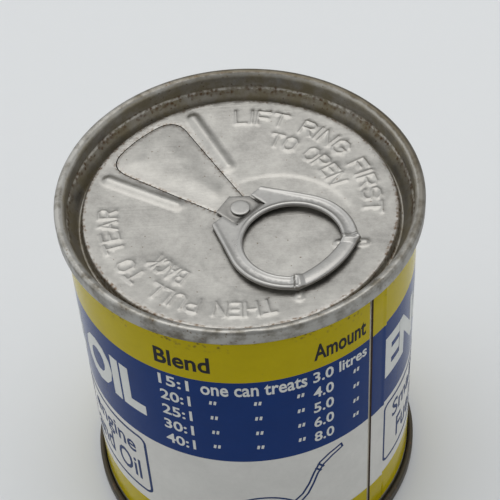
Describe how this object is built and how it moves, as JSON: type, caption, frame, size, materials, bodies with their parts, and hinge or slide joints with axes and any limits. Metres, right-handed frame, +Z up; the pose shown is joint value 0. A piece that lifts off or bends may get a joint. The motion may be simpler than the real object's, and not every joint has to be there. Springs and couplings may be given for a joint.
{
  "type": "motor oil can",
  "caption": "Small round printed tinplate oil can with double-seamed ends and an easy-open top: scored tear panel, rivet and ring pull.",
  "frame": {"origin": "centre of the base, at the level the can stands on", "axes": "+Z up along the can's axis, -Y towards the front of the label, +X to the right seen from the front"},
  "size_m": [0.0682, 0.0682, 0.0762],
  "materials": {
    "printed_tinplate": "gloss-varnished print on tinplate: yellow, blue and white bands",
    "tinplate": "dull tinplate",
    "aluminium": "satin rolled aluminium, slightly tarnished",
    "solder": "dull tin-lead solder",
    "compound": "matt sealing compound"
  },
  "bodies": {
    "can": {"body_shell": "printed_tinplate", "side_seam_solder": "solder", "top_end": "aluminium", "top_seam_compound": "compound", "bottom_end": "tinplate", "bottom_seam_compound": "compound"},
    "tear_strip": {"tear_panel": "aluminium", "tab_tongue": "aluminium"},
    "pull_tab": {"pull_ring": "aluminium"}
  },
  "joints": [
    {"name": "tear_open", "type": "hinge", "parent": "can", "child": "tear_strip", "pos_m": [-0.01876, 0.02011, 0.07158], "axis": [-0.7314, -0.682, 0], "range_deg": [0, 88]},
    {"name": "ring_lift", "type": "hinge", "parent": "tear_strip", "child": "pull_tab", "pos_m": [-0.00055, 0.00059, 0.07095], "axis": [-0.7314, -0.682, 0], "range_deg": [0, 90]}
  ]
}
